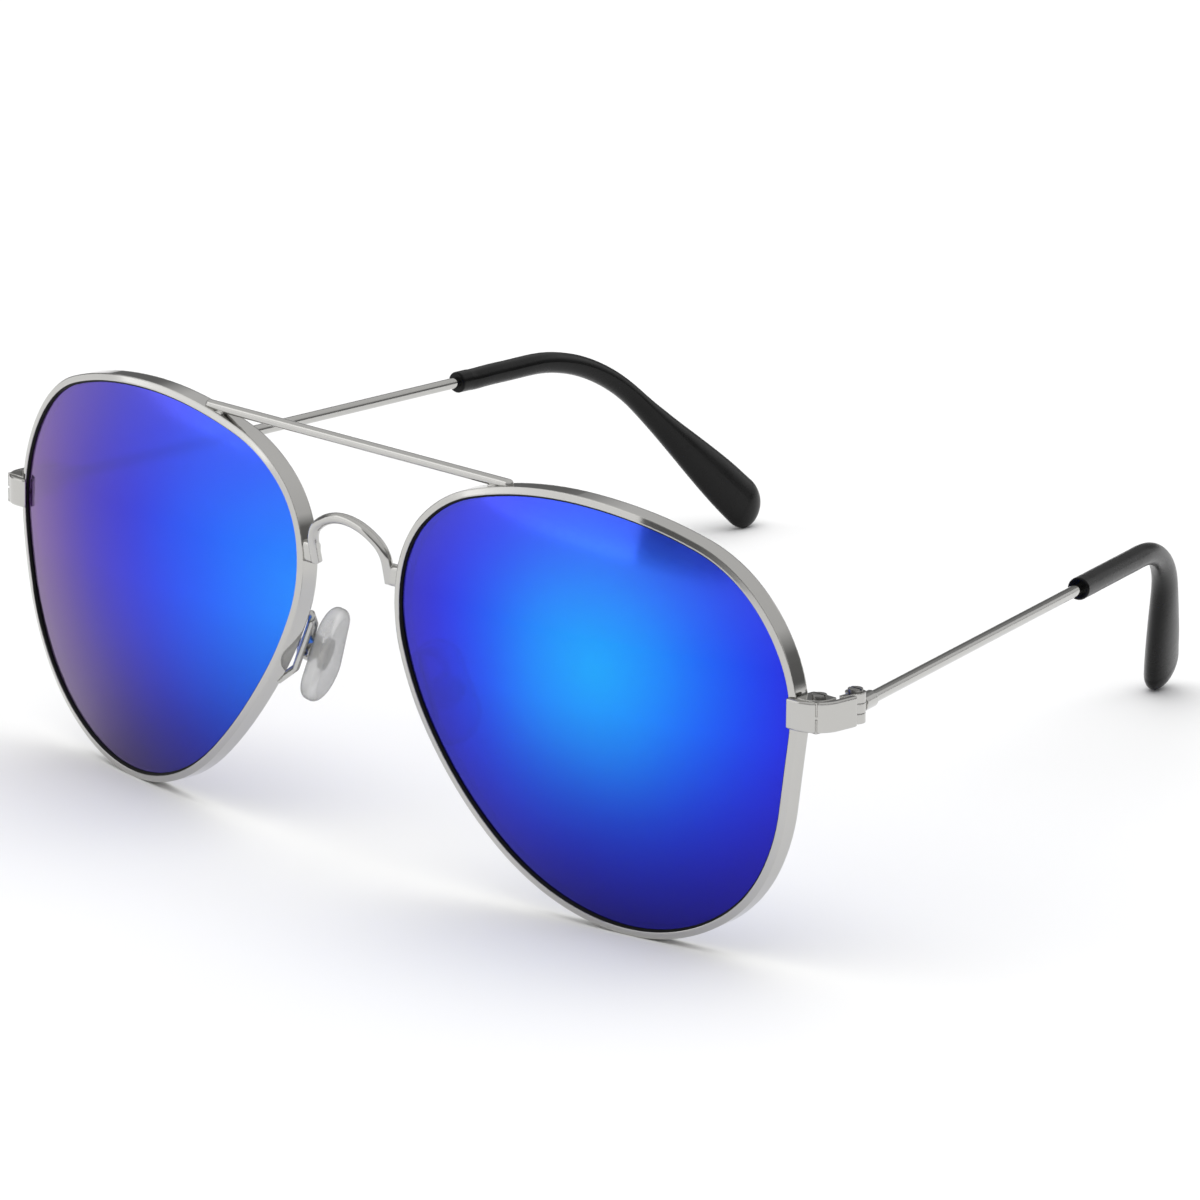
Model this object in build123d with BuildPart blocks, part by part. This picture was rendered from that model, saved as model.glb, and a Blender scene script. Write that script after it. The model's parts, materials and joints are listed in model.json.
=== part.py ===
from build123d import *
import math
import os

# Aviator sunglasses, lying open on a table on their rims and temple tips.
# Frame: +Z up, the front of the glasses faces -Y, +X is the wearer's left.
# The origin is on the table plane, under the middle of the bridge.

# ---- Driving dimensions (millimetres and degrees) -------------------------------------

lens_width = 56.4  # clear opening of one rim, across
lens_height = 47.9  # clear opening of one rim, up and down
lens_spacing = 73.4  # from the middle of one opening to the middle of the other
base_radius = 107.0  # curve of the lenses
lens_thickness = 1.4
wrap_angle = 6.3  # each lens is turned back this much at its outer edge
lean_angle = 2.0  # the front leans forward at the top

rim_wall = 0.8
rim_depth = 2.0
lens_recess = 0.4  # rim lip in front of the lens
groove_depth = 0.4
groove_width = 0.7
saw_cut = 0.3  # split of the rim, closed by the lock screw

wire_radius = 0.65  # bridge
brow_radius = 0.6
strip_height = 3.4
strip_thickness = 0.9
strip_bend = 3.1  # radius of the end piece's turn, on its centre line
strip_tail = 2.4  # straight part of the end piece, behind the turn

knuckle_radius = 1.15
knuckle_height = 1.1
knuckle_inset = 0.8  # hinge axis, inward from the end piece's inner face
knuckle_gap = 0.05  # between neighbouring knuckles
leaf_thickness = 0.75
leaf_length = 2.4
screw_radius = 0.5
head_radius = 0.85
head_height = 0.4
slot_width = 0.25
running_clearance = 0.05  # pin in a turning hole, on the radius
fixed_clearance = 0.02  # seated pieces, on each side

temple_wire_radius = 0.7
ferrule_radius = 0.98
ferrule_length = 3.2
ferrule_start = 1.4  # from the hinge axis
sock_start = 74.0  # from the hinge axis to the front of the plastic tip

pad_length = 12.0
pad_top_radius = 2.9
pad_bottom_radius = 3.6
pad_thickness = 2.0
pad_gap = 0.45  # between the pad and the box that carries it
box_radius = 1.65
box_depth = 1.7
lug_width = 1.5
pad_screw_radius = 0.35
arm_radius = 0.45

# How each temple lies: turned at the hinge, sloped, bent down behind the ear and leaned in.
temple_pose = {
    "left": dict(splay=-24.0, slope=-3.73, bend_at=96.7, bend_radius=21.6, bend=48.4, leg=18.3, lean=11.9),
    "right": dict(splay=6.9, slope=-1.04, bend_at=88.2, bend_radius=30.8, bend=41.0, leg=28.3, lean=6.8),
}

# ---- Places worked out from them --------------------------------------------------------

half_width = lens_width / 2
half_height = lens_height / 2
eye_x = lens_spacing / 2
eye_z = half_height + rim_wall - 0.23  # the rims' lowest points touch the table

os.makedirs("parts", exist_ok=True)


def turned(vector, axis, angle):
    return Vector(*vector).rotate(axis, angle)


lens_across = turned((1, 0, 0), Axis.Z, wrap_angle)
lens_across = lens_across.rotate(Axis.X, lean_angle)
lens_forward = turned((0, -1, 0), Axis.Z, wrap_angle)
lens_forward = lens_forward.rotate(Axis.X, lean_angle)
eye = Plane(origin=(eye_x, 0, eye_z), x_dir=lens_across, z_dir=lens_forward)


def on_lens(u, v, behind=0):
    """World point u across, v up from the middle of the left lens, on its curve."""
    sag = base_radius - math.sqrt(base_radius**2 - u**2 - v**2)
    return eye.from_local_coords(Vector(u, v, -sag - behind))


# Opening of the rim, as shares of its half width and half height, from the outer edge
# over the flat top to the nose side and round the deep lower edge.
outline_shares = [
    (1.0, 0.08),
    (0.93, 0.51),
    (0.67, 0.83),
    (0.31, 0.96),
    (-0.03, 1.0),
    (-0.38, 0.965),
    (-0.73, 0.835),
    (-0.985, 0.48),
    (-0.915, 0.0),
    (-0.65, -0.46),
    (-0.31, -0.81),
    (0.12, -0.99),
    (0.5, -0.935),
    (0.81, -0.67),
]


outline_guide = Spline(
    *[(u * half_width, v * half_height) for u, v in outline_shares], periodic=True
)
outline_spans = 10  # each span of the guide becomes two tangent arcs


def meeting_point(start, start_way, end, end_way):
    """Where two arcs of equal tangent length meet, and their direction there."""
    chord = end - start
    ways = start_way + end_way
    spread = 2 * (1 - start_way.dot(end_way))
    reach = (-chord.dot(ways) + math.sqrt(chord.dot(ways) ** 2 + spread * chord.dot(chord))) / spread
    first, second = start + start_way * reach, end - end_way * reach
    return (first + second) / 2, (second - first).normalized()


with BuildSketch() as opening:
    with BuildLine():
        for span in range(outline_spans):
            share, next_share = span / outline_spans, (span + 1) % outline_spans / outline_spans
            start, end = outline_guide @ share, outline_guide @ next_share
            start_way = (outline_guide % share).normalized()
            end_way = (outline_guide % next_share).normalized()
            middle, middle_way = meeting_point(start, start_way, end, end_way)
            TangentArc(start, middle, tangent=start_way)
            TangentArc(middle, end, tangent=middle_way)
    make_face()


def curved_layer(grow, front, back):
    """Opening grown by a distance, between two spheres front and back of the lens curve."""
    with BuildSketch(eye) as face:
        add(opening.sketch)
        if grow:
            offset(amount=grow, kind=Kind.ARC)
    prism = extrude(face.sketch, amount=base_radius / 5, both=True)
    centre = Pos(*eye.from_local_coords(Vector(0, 0, -base_radius)))
    front_trimmed = prism & (centre * Sphere(base_radius - front))
    return front_trimmed - (centre * Sphere(base_radius - back))


def write(part, name):
    part.label = name
    export_step(part, f"parts/{name}.step")


def write_pair(part, name):
    """The wearer's left piece, and its mirror image on the right."""
    write(part, f"{name}_left")
    with BuildPart() as other:
        mirror(part, about=Plane.YZ)
    write(other.part, f"{name}_right")


front_face = 0  # the rim's front lip lies on the lens curve
back_face = rim_depth
lens_front = front_face + lens_recess
lens_back = lens_front + lens_thickness
groove_middle = (lens_front + lens_back) / 2

rim_envelope = curved_layer(rim_wall, front_face, back_face)

# ---- Rims and lenses --------------------------------------------------------------------

hinge_z = eye_z + 5.25
strip_z = hinge_z

through_rim = curved_layer(0, front_face - 1, back_face + 1)
groove_half = groove_width / 2
groove = curved_layer(groove_depth, groove_middle - groove_half, groove_middle + groove_half)

with BuildPart() as rim:
    add(rim_envelope)
    add(through_rim, mode=Mode.SUBTRACT)
    add(groove, mode=Mode.SUBTRACT)
    with Locations((eye_x + half_width, 0, strip_z)):
        Box(half_width, base_radius / 2, saw_cut, mode=Mode.SUBTRACT)
write_pair(rim.part, "rim")

tongue_half = groove_half - fixed_clearance
lens_disc = curved_layer(-fixed_clearance, lens_front, lens_back)
tongue = curved_layer(groove_depth - fixed_clearance, groove_middle - tongue_half, groove_middle + tongue_half)

with BuildPart() as lens:
    add(lens_disc)
    add(tongue)
write_pair(lens.part, "lens")

# ---- Bridge and brow bar ------------------------------------------------------------------

nose_gap = lens_spacing - lens_width
leg_inset = 0.85  # between a leg's wire and the rim beside it
bridge_reach = nose_gap / 2 - rim_wall - wire_radius - leg_inset  # from the middle to a leg
leg_bottom_z = eye_z + 9.2
leg_length = 2.2
shoulder_radius = 3.2
crown_slope = 38.0
bridge_lean = 12.0  # the crown stands forward of its legs
foot_height = 2.6
foot_depth = 1.2
foot_reach = 2.4  # from the leg's middle into the rim
bridge_y = on_lens(-half_width * 0.96, leg_bottom_z - eye_z, rim_depth / 2).Y

bridge_plane = Plane(
    origin=(0, bridge_y, leg_bottom_z),
    x_dir=(1, 0, 0),
    z_dir=turned((0, -1, 0), Axis.X, bridge_lean),
)
shoulder_turn = 90 - crown_slope
crown_sine = math.sin(math.radians(crown_slope))
crown_radius = (bridge_reach - shoulder_radius * (1 - crown_sine)) / crown_sine

with BuildPart() as bridge:
    with BuildLine(bridge_plane) as bridge_path:
        leg = Line((-bridge_reach, 0), (-bridge_reach, leg_length))
        shoulder = JernArc(leg @ 1, leg % 1, shoulder_radius, -shoulder_turn)
        crown = JernArc(shoulder @ 1, shoulder % 1, crown_radius, -2 * crown_slope)
        far_shoulder = JernArc(crown @ 1, crown % 1, shoulder_radius, -shoulder_turn)
        Line(far_shoulder @ 1, (bridge_reach, 0))
    with BuildSketch(Plane(origin=bridge_path.line @ 0, z_dir=bridge_path.line % 0)):
        Circle(wire_radius)
    sweep()
    for side in (-1, 1):
        # The foot is brazed to the rim's nose side.
        with BuildSketch(Plane.YZ.offset(side * bridge_reach)):
            with Locations((bridge_y, leg_bottom_z + foot_height / 2 - 0.35)):
                SlotOverall(foot_height, foot_depth, rotation=90)
        extrude(amount=side * foot_reach)
    add(rim_envelope, mode=Mode.SUBTRACT)
    mirrored_envelope = mirror(rim_envelope, about=Plane.YZ, mode=Mode.PRIVATE)
    add(mirrored_envelope, mode=Mode.SUBTRACT)
write(bridge.part, "bridge")

brow_half_length = eye_x - 11.7
brow_y = on_lens(brow_half_length - eye_x, half_height * 0.96, rim_depth / 2).Y
brow_z = on_lens(brow_half_length - eye_x, half_height * 0.96).Z + rim_wall + brow_radius - 0.45
brow_drop = 1.0  # from the bar's middle down into the rim's top
brow_pad_length = 3.4
brow_pad_depth = 1.5
brow_pad_height = 0.9

with BuildPart() as brow_bar:
    with BuildSketch(Plane.YZ.offset(-brow_half_length)):
        with Locations((brow_y, brow_z)):
            Circle(brow_radius)
    extrude(amount=2 * brow_half_length)
    for side in (-1, 1):
        # The bar's end turns down and stands on a brazing pad on top of the rim.
        with Locations((side * brow_half_length, brow_y, brow_z)):
            Sphere(brow_radius)
        with Locations((side * brow_half_length, brow_y, brow_z - brow_drop / 2)):
            Cylinder(brow_radius, brow_drop)
        with Locations((side * (brow_half_length - 0.9), brow_y, brow_z - brow_drop + 0.15)):
            Box(brow_pad_length, brow_pad_depth, brow_pad_height)
    add(rim_envelope, mode=Mode.SUBTRACT)
    add(mirrored_envelope, mode=Mode.SUBTRACT)
write(brow_bar.part, "brow_bar")

# ---- End piece, rim lock and hinge, modelled on the wearer's left --------------------------

rim_outer = on_lens(half_width + rim_wall, hinge_z - eye_z)
strip_y = rim_outer.Y - strip_thickness / 2 + 0.15
strip_start_x = rim_outer.X - rim_wall + 0.2
strip_run = 1.0
tail_x = strip_start_x + strip_run + strip_bend
hinge_x = tail_x - strip_thickness / 2 - knuckle_inset
hinge_y = strip_y + strip_bend + strip_tail + strip_thickness / 2 + knuckle_radius

with BuildPart() as end_piece:
    with BuildSketch(Plane.XY.offset(strip_z - strip_height / 2)):
        with BuildLine():
            front_run = Line((strip_start_x, strip_y), (strip_start_x + strip_run, strip_y))
            turn = JernArc(front_run @ 1, front_run % 1, strip_bend, 90)
            Line(turn @ 1, (tail_x, strip_y + strip_bend + strip_tail))
            offset(amount=strip_thickness / 2, kind=Kind.TANGENT, side=Side.BOTH)
        make_face()
    extrude(amount=strip_height)
    rounded = end_piece.edges().filter_by(Axis.Z, reverse=True)
    fillet(rounded, radius=strip_thickness * 0.25)
    add(rim_envelope, mode=Mode.SUBTRACT)
write_pair(end_piece.part, "end_piece")

lock_height = strip_height + 0.1
lock_x0 = rim_outer.X - 0.6
lock_x1 = tail_x - strip_thickness / 2 - 0.1
lock_y0 = strip_y + strip_thickness / 2
lock_depth = 3.2
lock_y1 = lock_y0 + lock_depth
lock_screw_x = (rim_outer.X + lock_x1) / 2
lock_screw_y = lock_y0 + lock_depth * 0.6
half_lock = (lock_height - saw_cut) / 2


def lock_block(bottom, hole_radius):
    """Half of the block that closes the rim, brazed to the rim and to the end piece."""
    with BuildPart() as block:
        with BuildSketch(Plane.XY.offset(bottom)):
            with Locations(((lock_x0 + lock_x1) / 2, (lock_y0 + lock_y1) / 2)):
                Rectangle(lock_x1 - lock_x0, lock_y1 - lock_y0)
            with Locations((lock_screw_x, lock_screw_y)):
                Circle(hole_radius, mode=Mode.SUBTRACT)
        extrude(amount=half_lock)
        outer = block.edges().filter_by(Axis.Z).group_by(Axis.Y)[-1]
        fillet(outer, radius=0.3)
        add(rim_envelope, mode=Mode.SUBTRACT)
        add(end_piece.part, mode=Mode.SUBTRACT)
    return block.part


write_pair(lock_block(strip_z + saw_cut / 2, screw_radius + fixed_clearance), "lock_upper")
write_pair(lock_block(strip_z - saw_cut / 2 - half_lock, screw_radius + fixed_clearance), "lock_lower")


def screw(top, shank_length, shank_radius, cap_radius):
    """Cheese-head screw, standing along Z with the underside of its head at a plane."""
    with BuildPart() as body:
        with BuildSketch(top):
            Circle(cap_radius)
        extrude(amount=head_height)
        fillet(body.edges().sort_by(Axis(top.origin, top.z_dir))[-1], radius=0.12)
        with BuildSketch(top):
            Circle(shank_radius)
        extrude(amount=-shank_length)
        with BuildSketch(top.offset(head_height)):
            Rectangle(cap_radius * 3, slot_width)
        extrude(amount=-head_height / 2, mode=Mode.SUBTRACT)
    return body.part


lock_top = Plane(origin=(lock_screw_x, lock_screw_y, strip_z + saw_cut / 2 + half_lock), z_dir=(0, 0, 1))
write_pair(screw(lock_top, lock_height - 0.3, screw_radius, head_radius), "lock_screw")

middle_half = knuckle_height / 2
ear_inner = middle_half + knuckle_gap
ear_top = ear_inner + knuckle_height

with BuildPart() as front_hinge:
    with BuildSketch(Plane.XY.offset(hinge_z - ear_top)):
        with Locations((hinge_x, hinge_y)):
            Circle(knuckle_radius)
        leaf_x = tail_x - strip_thickness / 2 - leaf_thickness / 2
        with Locations((leaf_x, hinge_y - leaf_length / 2 - 0.1)):
            Rectangle(leaf_thickness, leaf_length)
    extrude(amount=2 * ear_top)
    with Locations((hinge_x, hinge_y, hinge_z)):
        # Room for the temple's middle knuckle.
        Cylinder(knuckle_radius + 0.12, 2 * ear_inner, mode=Mode.SUBTRACT)
        Cylinder(screw_radius + fixed_clearance, 3 * ear_top, mode=Mode.SUBTRACT)
    add(end_piece.part, mode=Mode.SUBTRACT)
write_pair(front_hinge.part, "front_hinge")

hinge_top = Plane(origin=(hinge_x, hinge_y, hinge_z + ear_top), z_dir=(0, 0, 1))
write_pair(screw(hinge_top, 2 * ear_top, screw_radius, head_radius), "hinge_screw")

# ---- Temples ----------------------------------------------------------------------------

# The plastic tip: round in front, widening behind the bend to a flat paddle with a blunt end.
sock_radius = 1.35
sock_lip = 0.25  # rounding of its front edge
sock_front = 2.0  # straight round piece behind that edge
paddle_length = 27.0
paddle_half_height = 3.4
paddle_half_thickness = 1.7
paddle_cap = 3.6  # length of the blunt end
section_step = 3.5  # sections of the tip stand about this far apart
cap_sections = ((0.5, 0.93), (0.8, 0.74), (1.0, 0.4))  # share of the cap's length, share of its size


def temple_plane(pose):
    """Plane in which a left-hand temple bends, with its turning angle there."""
    along = Vector(0, 1, 0).rotate(Axis.X, pose["slope"]).rotate(Axis.Z, -pose["splay"])
    level_in = Vector(-1, 0, 0).rotate(Axis.Z, -pose["splay"])
    leg = along.rotate(Axis((0, 0, 0), level_in), pose["bend"])
    lean_axis = leg.cross(level_in)
    leg = leg.rotate(Axis((0, 0, 0), lean_axis), pose["lean"])
    turn_angle = math.degrees(math.acos(along.dot(leg)))
    plane = Plane(origin=(hinge_x, hinge_y, hinge_z), x_dir=along, z_dir=along.cross(leg))
    return plane, turn_angle


def temple_path(pose, start, stop_short):
    """Centre line from a distance behind the hinge to a distance before the end."""
    plane, turn_angle = temple_plane(pose)
    with BuildLine(plane) as path:
        straight = Line((start, 0), (pose["bend_at"], 0))
        bend = JernArc(straight @ 1, straight % 1, pose["bend_radius"], turn_angle)
        Line(bend @ 1, bend @ 1 + (bend % 1) * (pose["leg"] - stop_short))
    return path.wire()


def round_bar(path, radius):
    with BuildPart() as bar:
        with BuildSketch(Plane(origin=path @ 0, z_dir=path % 0)):
            Circle(radius)
        sweep(path=path)
    return bar.part


def temple_hinge(pose):
    """Middle knuckle with the ferrule that takes the temple's wire."""
    plane, turn_angle = temple_plane(pose)
    with BuildPart() as hinge:
        with Locations((hinge_x, hinge_y, hinge_z)):
            Cylinder(knuckle_radius, knuckle_height)
        with BuildSketch(Plane(origin=plane.origin, x_dir=(0, 0, 1), z_dir=plane.x_dir)):
            RectangleRounded(knuckle_height * 0.8, knuckle_radius, knuckle_height * 0.15)
        extrude(amount=ferrule_start + 0.5)
        ferrule_face = plane.origin + plane.x_dir * ferrule_start
        with BuildSketch(Plane(origin=ferrule_face, z_dir=plane.x_dir)):
            Circle(ferrule_radius)
        extrude(amount=ferrule_length)
        with BuildSketch(Plane(origin=ferrule_face + plane.x_dir * 0.6, z_dir=plane.x_dir)):
            Circle(temple_wire_radius + fixed_clearance)
        extrude(amount=ferrule_length, mode=Mode.SUBTRACT)
        with Locations((hinge_x, hinge_y, hinge_z)):
            Cylinder(screw_radius + running_clearance, 3 * knuckle_height, mode=Mode.SUBTRACT)
    return hinge.part


def tip_section(path, plane, place, half_high, half_thick):
    share = place / path.length
    station = Plane(origin=path @ share, x_dir=plane.z_dir, z_dir=path % share)
    with BuildSketch(station) as section:
        Ellipse(half_thick, half_high)
    return section.sketch.face()


def temple_tip(pose):
    """Hollow plastic tip, round in front and a flat paddle behind the ear."""
    path = temple_path(pose, sock_start, 0)
    plane = temple_plane(pose)[0]
    body_length = path.length - paddle_cap
    steps = round((body_length - sock_front) / section_step)
    sections = []
    for step in range(steps + 1):
        place = sock_front + (body_length - sock_front) * step / steps
        widening = max(0, (place - body_length + paddle_length) / paddle_length)
        share = widening**2 * (3 - 2 * widening)
        half_high = sock_radius + (paddle_half_height - sock_radius) * share
        half_thick = sock_radius + (paddle_half_thickness - sock_radius) * share
        sections.append(tip_section(path, plane, place, half_high, half_thick))
    cap = [sections[-1]]
    for place, share in cap_sections:
        end = body_length + paddle_cap * place
        cap.append(tip_section(path, plane, end, paddle_half_height * share, paddle_half_thickness * share))
    solid_body = Solid.make_loft([section.outer_wire() for section in sections])
    solid_cap = Solid.make_loft([section.outer_wire() for section in cap])
    wire_hole = round_bar(temple_path(pose, sock_start - 1, 2), temple_wire_radius + fixed_clearance)
    with BuildPart() as tip:
        with BuildSketch(Plane(origin=path @ 0, z_dir=path % 0)):
            Circle(sock_radius)
        extrude(amount=sock_front)
        round_edges = tip.edges().filter_by(GeomType.CIRCLE)
        fillet(round_edges.sort_by_distance(path @ 0)[0], radius=sock_lip)
        add(solid_body)
        add(solid_cap)
        add(wire_hole, mode=Mode.SUBTRACT)
    return tip.part


for side, pose in temple_pose.items():
    pieces = {
        "temple_hinge": temple_hinge(pose),
        "temple": round_bar(temple_path(pose, ferrule_start + 0.65, 2.2), temple_wire_radius),
        "temple_tip": temple_tip(pose),
    }
    for name, piece in pieces.items():
        with BuildPart() as placed:
            if side == "left":
                add(piece)
            else:
                mirror(piece, about=Plane.YZ)
        write(placed.part, f"{name}_{side}")

# ---- Nose pads ----------------------------------------------------------------------------

pad_tilt = -20.0  # the tops lean towards each other
pad_splay = -22.0  # the rear edges stand further apart
pad_centre = Vector(10.4, 6.7, eye_z - 3.5)
pad_back = turned((0, 1, 0), Axis.Z, pad_splay).rotate(Axis.Y, pad_tilt)
pad_side = turned((1, 0, 0), Axis.Z, pad_splay).rotate(Axis.Y, pad_tilt)
pad_plane = Plane(origin=pad_centre, x_dir=pad_back, z_dir=pad_side)

plate_half = 0.3
box_face = pad_thickness / 2 + pad_gap
pivot = box_face + 0.6  # screw axis, outward from the pad's middle
pocket_depth = box_depth - 0.45
lug_end = pivot + 0.5
lug_height = 1.4
pad_edge_radius = 0.8


def across_pad(at):
    """Plane whose normal runs along the pad screw."""
    return Plane(origin=pad_plane.from_local_coords(Vector(at, 0, pivot)), x_dir=pad_side, z_dir=pad_back)


def insert_shape(grow):
    with BuildPart() as shape:
        with BuildSketch(pad_plane.offset(-plate_half - grow)):
            Ellipse(1.3 + grow, 2.0 + grow)
        extrude(amount=2 * (plate_half + grow))
        with BuildSketch(pad_plane):
            Rectangle(lug_width + 2 * grow, lug_height + 2 * grow)
        extrude(amount=lug_end + grow)
    return shape.part


insert_pocket = insert_shape(fixed_clearance)
insert_body = insert_shape(0)

with BuildPart() as pad_insert:
    add(insert_body)
    with BuildSketch(across_pad(-lug_width)):
        Circle(pad_screw_radius + running_clearance)
    extrude(amount=2 * lug_width, mode=Mode.SUBTRACT)
write_pair(pad_insert.part, "pad_insert")

with BuildPart() as nose_pad:
    with BuildSketch(pad_plane.offset(-pad_thickness / 2)):
        with Locations((0, pad_length / 2 - pad_top_radius)):
            Circle(pad_top_radius)
        with Locations((0, -pad_length / 2 + pad_bottom_radius)):
            Circle(pad_bottom_radius)
        make_hull()
    extrude(amount=pad_thickness)
    fillet(nose_pad.edges(), radius=pad_edge_radius)
    add(insert_pocket, mode=Mode.SUBTRACT)
write_pair(nose_pad.part, "nose_pad")

with BuildPart() as pad_box:
    with BuildSketch(pad_plane.offset(box_face)):
        Circle(box_radius)
    extrude(amount=box_depth)
    fillet(pad_box.faces().sort_by(Axis(pad_plane.origin, pad_side))[-1].edges(), radius=0.4)
    with BuildSketch(pad_plane.offset(box_face)):
        Rectangle(lug_width + 0.1, lug_height + 0.6)
    extrude(amount=pocket_depth, mode=Mode.SUBTRACT)
    with BuildSketch(across_pad(-box_radius)):
        Circle(pad_screw_radius + fixed_clearance)
    extrude(amount=2 * box_radius, mode=Mode.SUBTRACT)
write_pair(pad_box.part, "pad_box")

with BuildPart() as pad_screw:
    with BuildSketch(across_pad(-box_radius + 0.2)):
        Circle(pad_screw_radius)
    extrude(amount=2 * box_radius - 0.4)
    with BuildSketch(across_pad(-box_radius + 0.2)):
        Rectangle(pad_screw_radius * 3, slot_width / 2)
    extrude(amount=slot_width, mode=Mode.SUBTRACT)
write_pair(pad_screw.part, "pad_screw")

arm_foot = on_lens(-half_width * 0.8, -half_height * 0.275, back_face)
box_middle = pad_plane.from_local_coords(Vector(0, 0, box_face + box_depth / 2))
pad_up = pad_plane.y_dir
arm_points = [
    arm_foot,
    arm_foot + Vector(-1.6, 1.3, 1.6),
    pad_centre + Vector(-0.9, -2.9, 4.9),
    pad_centre + Vector(0.4, -1.9, 5.1),
    box_middle + pad_up * 3.0,
    box_middle + pad_up * (box_radius - 0.4),
]

with BuildPart() as pad_arm:
    with BuildLine() as arm_path:
        FilletPolyline(*arm_points, radius=0.6)
    with BuildSketch(Plane(origin=arm_points[0], z_dir=arm_points[1] - arm_points[0])):
        Circle(arm_radius)
    sweep(path=arm_path.wire())
    add(rim_envelope, mode=Mode.SUBTRACT)
    add(pad_box.part, mode=Mode.SUBTRACT)
write_pair(pad_arm.part, "pad_arm")

print("hinge axis", round(hinge_x, 3), round(hinge_y, 3), round(hinge_z, 3))
pivot_point = pad_plane.from_local_coords(Vector(0, 0, pivot))
print("pad pivot", [round(value, 3) for value in pivot_point], [round(value, 5) for value in pad_back])
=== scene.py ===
import bpy
import bmesh
import json
import math
from mathutils import Matrix, Vector


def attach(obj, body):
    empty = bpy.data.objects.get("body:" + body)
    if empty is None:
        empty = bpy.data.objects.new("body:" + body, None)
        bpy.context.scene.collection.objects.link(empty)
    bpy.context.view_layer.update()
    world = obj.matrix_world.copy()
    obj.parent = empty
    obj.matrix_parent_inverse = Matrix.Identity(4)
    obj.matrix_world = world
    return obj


# Aviator sunglasses lying open on a table: looks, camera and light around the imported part.

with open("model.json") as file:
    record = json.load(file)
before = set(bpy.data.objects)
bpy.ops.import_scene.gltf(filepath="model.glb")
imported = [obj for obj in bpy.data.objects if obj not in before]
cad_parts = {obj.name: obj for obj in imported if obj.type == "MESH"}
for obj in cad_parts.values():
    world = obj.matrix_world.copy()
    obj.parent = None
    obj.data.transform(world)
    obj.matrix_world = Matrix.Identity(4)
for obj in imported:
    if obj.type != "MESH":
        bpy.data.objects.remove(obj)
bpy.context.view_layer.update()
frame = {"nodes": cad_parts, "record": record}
mm = 0.001
sides = ("left", "right")


def hexLinear(code, alpha=1.0):
    parts = [int(code[i:i + 2], 16) / 255 for i in (1, 3, 5)]
    return tuple(c / 12.92 if c <= 0.04045 else ((c + 0.055) / 1.055) ** 2.4 for c in parts) + (alpha,)


def grey(value):
    return (value, value, value, 1.0)


def newMaterial(name):
    material = bpy.data.materials.new(name)
    material.use_nodes = True
    tree = material.node_tree
    return material, tree, tree.nodes["Principled BSDF"]


# A key that names or numbers a socket sets that socket, and any other key sets the node's own value.
# Stops are a colour ramp's (place, colour) pairs.
def addNode(tree, kind, settings=None, links=None, stops=()):
    node = tree.nodes.new(kind)
    for key, value in (settings or {}).items():
        if isinstance(key, int) or key in node.inputs:
            node.inputs[key].default_value = value
        else:
            setattr(node, key, value)
    for key, source in (links or {}).items():
        tree.links.new(source, node.inputs[key])
    if stops:
        elements = node.color_ramp.elements
        while len(elements) < len(stops):
            elements.new(0.5)
        for element, (place, colour) in zip(elements, stops):
            element.position = place
            element.color = colour
    return node


# Nickel silver wire, drawn and polished, then bright plated: clear reflections, fine draw lines.
nickelWork = {
    "name": "platedNickelSilver",
    "colour": "#bfbebb",
    "roughness": 0.06,
    "lineMm": 0.35,
    "bump": 0.03,
    "edgeMm": 0.22,
}
# Stainless screws, turned and left dull.
screwWork = {
    "name": "turnedScrewSteel",
    "colour": "#8d8c8a",
    "roughness": 0.3,
    "lineMm": 0.12,
    "bump": 0.25,
    "edgeMm": 0.08,
}
# Stainless plate, stamped, that the pad is moulded around.
insertWork = {
    "name": "stampedInsertSteel",
    "colour": "#b9b6ae",
    "roughness": 0.32,
    "lineMm": 0.2,
    "bump": 0.2,
    "edgeMm": 0.08,
}
# What all three metals share.
metalWork = {"cloudMm": 6, "reliefMm": 0.02, "smoothest": 0.7, "dullest": 1.5, "edgeSamples": 6}


def wornMetal(work):
    material, tree, shader = newMaterial(work["name"])
    shader.inputs["Metallic"].default_value = 1.0
    shader.inputs["Base Color"].default_value = hexLinear(work["colour"])
    place = addNode(tree, "ShaderNodeTexCoord").outputs["Object"]
    cloud = addNode(
        tree, "ShaderNodeTexNoise",
        {"Scale": 1 / (metalWork["cloudMm"] * mm), "Detail": 3.0},
        {"Vector": place},
    )
    rough = addNode(
        tree, "ShaderNodeMapRange",
        {
            "To Min": work["roughness"] * metalWork["smoothest"],
            "To Max": work["roughness"] * metalWork["dullest"],
        },
        {"Value": cloud.outputs["Fac"]},
    )
    tree.links.new(rough.outputs["Result"], shader.inputs["Roughness"])
    grain = addNode(
        tree, "ShaderNodeTexNoise",
        {"Scale": 1 / (work["lineMm"] * mm), "Detail": 2.0},
        {"Vector": place},
    )
    soft = addNode(
        tree, "ShaderNodeBevel",
        {"samples": metalWork["edgeSamples"], "Radius": work["edgeMm"] * mm},
    )
    bump = addNode(
        tree, "ShaderNodeBump",
        {"Strength": work["bump"], "Distance": metalWork["reliefMm"] * mm},
        {"Height": grain.outputs["Fac"], "Normal": soft.outputs["Normal"]},
    )
    tree.links.new(bump.outputs["Normal"], shader.inputs["Normal"])
    return material


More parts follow.
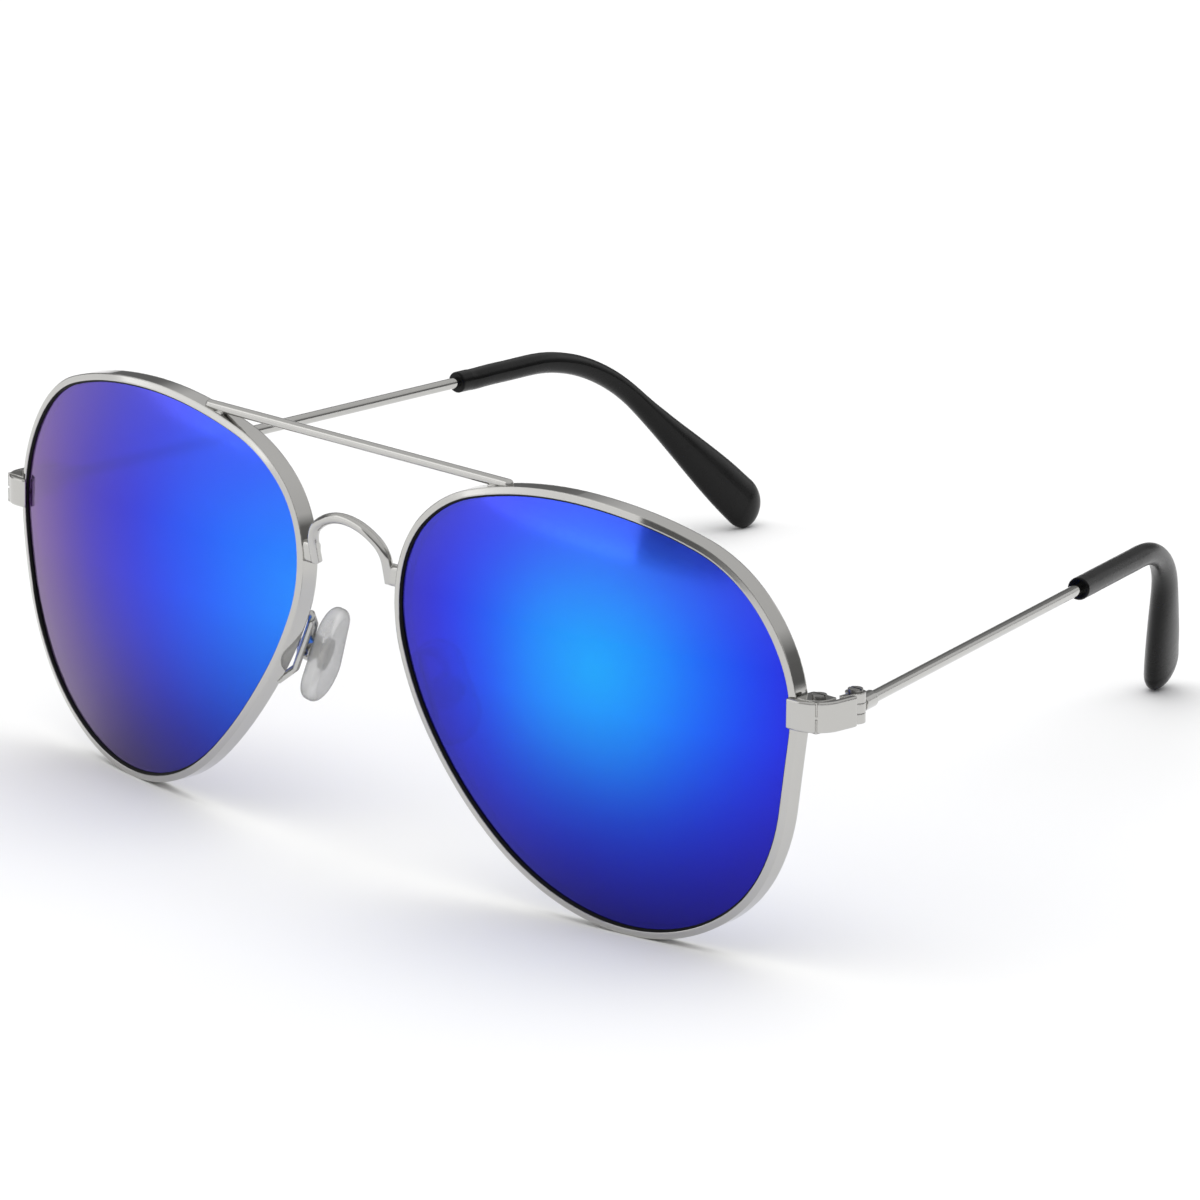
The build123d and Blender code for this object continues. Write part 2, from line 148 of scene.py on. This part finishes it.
# Nylon lens with a blue mirror coating laid down in vacuum. Its colour is a painted reflection: the
# blue runs from a bright azure spot to violet at the edge, with painted shade towards the bottom.
leftLensWork = {
    "name": "blueMirrorNylon_left",
    "reflectionSpotMm": (40.0, 30.5),
    "reachMm": 30.0,
    "stops": [
        (0.0, "#00b4fb"),
        (0.3, "#008cfb"),
        (0.55, "#0054f5"),
        (0.78, "#1626ea"),
        (1.0, "#2412c4"),
    ],
}
rightLensWork = {
    "name": "blueMirrorNylon_right",
    "reflectionSpotMm": (-8.0, 29.0),
    "reachMm": 56.0,
    "stops": [
        (0.0, "#1c98fd"),
        (0.24, "#0a6cfb"),
        (0.42, "#1244ef"),
        (0.58, "#261ed6"),
        (0.74, "#3e10b4"),
        (0.95, "#6a2498"),
    ],
}
# What both lenses share: heights are above the table.
coatingWork = {
    "driftMm": 22,
    "drift": 0.06,
    "shadeFromMm": 2,
    "shadeToMm": 26,
    "bottomShade": 0.5,
    # A pale painted reflection, mixed in towards the top of the lens.
    "paleReflectionFromMm": 34,
    "paleReflectionToMm": 50,
    "paleReflection": 0.18,
    "paleReflectionColour": "#8f9cff",
    "dustMm": 1.6,
    "roughness": (0.05, 0.11),
    "seeThrough": 0.45,
    "glass": 1.5,
}


def mirrorLens(work):
    coat = coatingWork
    material, tree, shader = newMaterial(work["name"])
    place = addNode(tree, "ShaderNodeTexCoord").outputs["Object"]
    parts = addNode(tree, "ShaderNodeSeparateXYZ", links={"Vector": place})
    # Painted reflection: the lens colour is brightest azure at this spot and runs to violet away from
    # it.
    reflectionSpotX, reflectionSpotZ = work["reflectionSpotMm"]
    reflectionSpot = addNode(tree, "ShaderNodeCombineXYZ", {"X": reflectionSpotX * mm, "Z": reflectionSpotZ * mm})
    flat = addNode(
        tree, "ShaderNodeCombineXYZ",
        links={"X": parts.outputs["X"], "Z": parts.outputs["Z"]},
    )
    far = addNode(
        tree, "ShaderNodeVectorMath", {"operation": "DISTANCE"},
        {0: flat.outputs["Vector"], 1: reflectionSpot.outputs["Vector"]},
    )
    drift = addNode(
        tree, "ShaderNodeTexNoise",
        {"Scale": 1 / (coat["driftMm"] * mm), "Detail": 1.0},
        {"Vector": place},
    )
    wobble = addNode(
        tree, "ShaderNodeMapRange",
        {"To Min": -coat["drift"], "To Max": coat["drift"]},
        {"Value": drift.outputs["Fac"]},
    )
    share = addNode(
        tree, "ShaderNodeMath",
        {"operation": "MULTIPLY_ADD", 1: 1 / (work["reachMm"] * mm)},
        {0: far.outputs["Value"], 2: wobble.outputs["Result"]},
    )
    paintedReflection = addNode(
        tree, "ShaderNodeValToRGB",
        links={"Fac": share.outputs["Value"]},
        stops=[(p, hexLinear(c)) for p, c in work["stops"]],
    )
    paintedReflection.color_ramp.interpolation = "B_SPLINE"
    # Painted shade: the lens colour darkens towards the bottom of the lens.
    height = addNode(
        tree, "ShaderNodeMapRange",
        {
            "From Min": coat["shadeFromMm"] * mm,
            "From Max": coat["shadeToMm"] * mm,
            "To Min": coat["bottomShade"],
            "To Max": 1.0,
        },
        {"Value": parts.outputs["Z"]},
    )
    shaded = addNode(
        tree, "ShaderNodeVectorMath", {"operation": "SCALE"},
        {0: paintedReflection.outputs["Color"], "Scale": height.outputs["Result"]},
    )
    # Painted reflection: a pale lavender mixed into the lens colour towards the top.
    paleReflection = addNode(
        tree, "ShaderNodeMapRange",
        {
            "From Min": coat["paleReflectionFromMm"] * mm,
            "From Max": coat["paleReflectionToMm"] * mm,
            "To Min": 0.0,
            "To Max": coat["paleReflection"],
        },
        {"Value": parts.outputs["Z"]},
    )
    # Sockets 6 and 7 are the two colours of a colour mix, and output 2 is its result.
    mixed = addNode(
        tree, "ShaderNodeMix",
        {"data_type": "RGBA", 7: hexLinear(coat["paleReflectionColour"])},
        {"Factor": paleReflection.outputs["Result"], 6: shaded.outputs["Vector"]},
    )
    tree.links.new(mixed.outputs[2], shader.inputs["Base Color"])
    dust = addNode(
        tree, "ShaderNodeTexNoise",
        {"Scale": 1 / (coat["dustMm"] * mm), "Detail": 4.0},
        {"Vector": place},
    )
    rough = addNode(
        tree, "ShaderNodeMapRange",
        {"To Min": coat["roughness"][0], "To Max": coat["roughness"][1]},
        {"Value": dust.outputs["Fac"]},
    )
    tree.links.new(rough.outputs["Result"], shader.inputs["Roughness"])
    shader.inputs["Metallic"].default_value = 1 - coat["seeThrough"]
    shader.inputs["Transmission Weight"].default_value = 1.0
    shader.inputs["IOR"].default_value = coat["glass"]
    return material


# Cellulose acetate, moulded over the wire and tumbled: near black, soft gloss with a fine grain.
acetateWork = {
    "name": "tumbledBlackAcetate",
    "colour": "#020202",
    "worn": "#050505",
    "roughness": 0.27,
    "grainMm": 0.25,
}
# Dull black for the ring around each lens, a painted shadow that stands in for the shade in the gap
# between lens and rim; darker than the tips.
shadowRingBlackWork = {
    "name": "paintedGrooveShadow",
    "colour": "#050505",
    "worn": "#050505",
    "roughness": 0.6,
    "grainMm": 0.15,
}
# What both black materials share.
blackWork = {"cloudMm": 4, "reliefMm": 0.03, "bump": 0.12, "glass": 1.46, "shine": 0.22}


def grainedBlack(work):
    material, tree, shader = newMaterial(work["name"])
    place = addNode(tree, "ShaderNodeTexCoord").outputs["Object"]
    cloud = addNode(
        tree, "ShaderNodeTexNoise",
        {"Scale": 1 / (blackWork["cloudMm"] * mm), "Detail": 4.0},
        {"Vector": place},
    )
    tone = addNode(
        tree, "ShaderNodeValToRGB",
        links={"Fac": cloud.outputs["Fac"]},
        stops=[(0.35, hexLinear(work["colour"])), (0.75, hexLinear(work["worn"]))],
    )
    tree.links.new(tone.outputs["Color"], shader.inputs["Base Color"])
    rough = addNode(
        tree, "ShaderNodeMapRange",
        {"To Min": work["roughness"] * 0.8, "To Max": work["roughness"] * 1.25},
        {"Value": cloud.outputs["Fac"]},
    )
    tree.links.new(rough.outputs["Result"], shader.inputs["Roughness"])
    grain = addNode(
        tree, "ShaderNodeTexNoise",
        {"Scale": 1 / (work["grainMm"] * mm), "Detail": 3.0},
        {"Vector": place},
    )
    bump = addNode(
        tree, "ShaderNodeBump",
        {"Strength": blackWork["bump"], "Distance": blackWork["reliefMm"] * mm},
        {"Height": grain.outputs["Fac"]},
    )
    tree.links.new(bump.outputs["Normal"], shader.inputs["Normal"])
    shader.inputs["IOR"].default_value = blackWork["glass"]
    shader.inputs["Specular IOR Level"].default_value = blackWork["shine"]
    return material


# Silicone rubber, injection moulded: clear face on, milky at a slant, so the insert shows through; the
# slanted parts carry a painted grey shade.
siliconeWork = {
    "name": "mouldedClearSilicone",
    "colour": "#eeeeec",
    "rim": "#8f8f8d",
    "cloudMm": 2.5,
    "cloud": 0.12,
    "roughness": 0.2,
    "clear": 0.75,
    "slant": 0.45,
    "glass": 1.41,
}


def clearSilicone(work):
    material, tree, shader = newMaterial(work["name"])
    place = addNode(tree, "ShaderNodeTexCoord").outputs["Object"]
    cloud = addNode(
        tree, "ShaderNodeTexNoise",
        {"Scale": 1 / (work["cloudMm"] * mm), "Detail": 3.0},
        {"Vector": place},
    )
    # Painted shade: the colour turns grey where the pad slants away from view, mixed with a random
    # cloud; the same slant also makes the pad less clear.
    facing = addNode(tree, "ShaderNodeLayerWeight", {"Blend": work["slant"]}).outputs["Facing"]
    mottleAndSlantShade = addNode(
        tree, "ShaderNodeMath",
        {"operation": "MULTIPLY_ADD", 1: work["cloud"]},
        {0: cloud.outputs["Fac"], 2: facing},
    )
    tone = addNode(
        tree, "ShaderNodeValToRGB",
        links={"Fac": mottleAndSlantShade.outputs["Value"]},
        stops=[(0.1, hexLinear(work["colour"])), (0.75, hexLinear(work["rim"]))],
    )
    tree.links.new(tone.outputs["Color"], shader.inputs["Base Color"])
    solid = addNode(
        tree, "ShaderNodeMapRange",
        {"To Min": 1 - work["clear"], "To Max": 0.9},
        {"Value": facing},
    )
    tree.links.new(solid.outputs["Result"], shader.inputs["Alpha"])
    rough = addNode(
        tree, "ShaderNodeMapRange",
        {"To Min": work["roughness"] * 0.8, "To Max": work["roughness"] * 1.2},
        {"Value": cloud.outputs["Fac"]},
    )
    tree.links.new(rough.outputs["Result"], shader.inputs["Roughness"])
    shader.inputs["IOR"].default_value = work["glass"]
    return material


# Black for the ring that stands in for the shadow between each lens and its rim.
shadowRingBlack = grainedBlack(shadowRingBlackWork)
lensBySide = {"left": mirrorLens(leftLensWork), "right": mirrorLens(rightLensWork)}
finishBySlot = {
    "silver_metal": wornMetal(nickelWork),
    "screw_steel": wornMetal(screwWork),
    "insert_metal": wornMetal(insertWork),
    "clear_silicone": clearSilicone(siliconeWork),
    "black_plastic": grainedBlack(acetateWork),
}
for part in frame["record"]["subparts"]:
    node = frame["nodes"][part["node"]]
    slot = part["material_slot"]
    side = part["node"].rsplit("_", 1)[-1]
    node.data.materials.clear()
    node.data.materials.append(lensBySide[side] if slot == "mirror_lens" else finishBySlot[slot])
print("finishes: done")

# Thin black ring between each lens and its rim, a painted shadow of the gap there, laid along the
# lens's own front edge.
shadowRingWork = {"radiusMm": 0.28, "joinMm": 0.004, "sharpDegrees": 50, "fewestEdges": 40}


def frontEdgeOf(mesh):
    limit = math.radians(shadowRingWork["sharpDegrees"])
    sharp = [
        e for e in mesh.edges
        if len(e.link_faces) == 2 and e.is_convex and e.calc_face_angle(0) > limit
    ]
    near = {}
    for edge in sharp:
        for vert in edge.verts:
            near.setdefault(vert, []).append(edge)
    groups, seen = [], set()
    for edge in sharp:
        group, waiting = [], [edge]
        while waiting:
            one = waiting.pop()
            if one in seen:
                continue
            seen.add(one)
            group.append(one)
            for vert in one.verts:
                waiting.extend(near[vert])
        groups.append(group)
    whole = [g for g in groups if len(g) > shadowRingWork["fewestEdges"]]
    return min(whole, key=lambda g: sum(v.co.y for e in g for v in e.verts) / len(g))


def lensShadowRing(side):
    source = frame["nodes"]["lens_" + side]
    shadowRing = bpy.data.objects.new("lensShadowRing_" + side, source.data.copy())
    bpy.context.scene.collection.objects.link(shadowRing)
    shadowRing.data.materials.clear()
    bpy.ops.object.select_all(action="DESELECT")
    shadowRing.select_set(True)
    bpy.context.view_layer.objects.active = shadowRing
    bpy.ops.object.mode_set(mode="EDIT")
    bpy.ops.mesh.select_all(action="SELECT")
    bpy.ops.mesh.remove_doubles(threshold=shadowRingWork["joinMm"] * mm)
    bpy.ops.mesh.select_all(action="DESELECT")
    mesh = bmesh.from_edit_mesh(shadowRing.data)
    bpy.context.tool_settings.mesh_select_mode = (False, True, False)
    keep = set(frontEdgeOf(mesh))
    for edge in mesh.edges:
        edge.select_set(edge not in keep)
    bmesh.update_edit_mesh(shadowRing.data)
    bpy.ops.mesh.delete(type="EDGE_FACE")
    bpy.ops.object.mode_set(mode="OBJECT")
    bpy.ops.object.convert(target="CURVE")
    shadowRing.data.bevel_depth = shadowRingWork["radiusMm"] * mm
    shadowRing.data.bevel_resolution = 3
    bpy.ops.object.convert(target="MESH")
    shadowRing.data.materials.append(shadowRingBlack)
    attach(shadowRing, "front")


for side in sides:
    lensShadowRing(side)
print("lens seals: done")

# Angles are in degrees, and the lens and its sensor in millimetres.
cameraWork = {
    "placeMm": (644.2, -576.0, 262.05),
    "turn": 46.28,
    "above": 14.98,
    "roll": 0.51,
    "lens": 238.14,
    "sensor": 36.0,
    "nearest": 0.01,
}
turn, down, roll = (math.radians(cameraWork[k]) for k in ("turn", "above", "roll"))
ahead = Vector((
    -math.sin(turn) * math.cos(down),
    math.cos(turn) * math.cos(down),
    -math.sin(down),
))
level = Vector((math.cos(turn), math.sin(turn), 0))
upward = level.cross(ahead)
across = math.cos(roll) * level + math.sin(roll) * upward
above = -math.sin(roll) * level + math.cos(roll) * upward
bpy.ops.object.camera_add()
camera = bpy.context.object
camera.data.sensor_width = cameraWork["sensor"]
camera.data.lens = cameraWork["lens"]
camera.data.clip_start = cameraWork["nearest"]
placeX, placeY, placeZ = (value * mm for value in cameraWork["placeMm"])
camera.matrix_world = Matrix((
    (across.x, above.x, -ahead.x, placeX),
    (across.y, above.y, -ahead.y, placeY),
    (across.z, above.z, -ahead.z, placeZ),
    (0, 0, 0, 1),
))
bpy.context.scene.camera = camera

# Matt painted board, the table that the object lies on.
floorWork = {"size": 12.0, "colour": "#f4f4f4", "roughness": 0.9}
bpy.ops.mesh.primitive_plane_add(size=floorWork["size"], location=(0, 0, 0))
floor = bpy.context.object
floor.name = "studioFloor"
floorPaint, floorTree, floorShader = newMaterial("paleStudioFloor")
floorShader.inputs["Base Color"].default_value = hexLinear(floorWork["colour"])
floorShader.inputs["Roughness"].default_value = floorWork["roughness"]
floor.data.materials.append(floorPaint)

# Each softbox points at the origin. Places and sizes are in metres, powers in watts.
lightWork = [
    {"name": "topSoftbox", "place": (0.0, 0.1, 1.6), "size": 2.2, "power": 19.0, "mirrored": False},
    {"name": "rearSoftbox", "place": (0.1, 2.0, 0.62), "size": 1.1, "power": 2.2, "mirrored": True},
    {"name": "frontSoftbox", "place": (-1.2, -1.2, 0.35), "size": 1.5, "power": 7.0, "mirrored": True},
]
for work in lightWork:
    bpy.ops.object.light_add(type="AREA", location=work["place"])
    light = bpy.context.object
    light.name = work["name"]
    light.data.size = work["size"]
    light.data.energy = work["power"]
    light.rotation_mode = "QUATERNION"
    light.rotation_quaternion = (-Vector(work["place"])).to_track_quat("-Z", "Y")
    light.visible_glossy = work["mirrored"]

# Dark walls low down and a bright ceiling, so that bright metal shows dark and light lines.
worldWork = {
    "name": "paleStudio",
    "strength": 0.9,
    "stops": [
        (0.0, grey(0.85)),
        (0.49, grey(0.6)),
        (0.52, grey(0.16)),
        (0.64, grey(0.2)),
        (0.72, grey(0.75)),
        (1.0, grey(0.9)),
    ],
}
world = bpy.data.worlds.new(worldWork["name"])
bpy.context.scene.world = world
world.use_nodes = True
skyTree = world.node_tree
skyPlace = addNode(skyTree, "ShaderNodeTexCoord").outputs["Generated"]
skyHeight = addNode(skyTree, "ShaderNodeSeparateXYZ", links={"Vector": skyPlace}).outputs["Z"]
skyShare = addNode(
    skyTree, "ShaderNodeMapRange",
    {"From Min": -1.0, "From Max": 1.0},
    {"Value": skyHeight},
)
skyTone = addNode(
    skyTree, "ShaderNodeValToRGB",
    links={"Fac": skyShare.outputs["Result"]},
    stops=worldWork["stops"],
)
sky = skyTree.nodes["Background"]
skyTree.links.new(skyTone.outputs["Color"], sky.inputs["Color"])
sky.inputs["Strength"].default_value = worldWork["strength"]
bpy.context.scene.view_settings.view_transform = "Standard"
print("camera, floor and light: done")
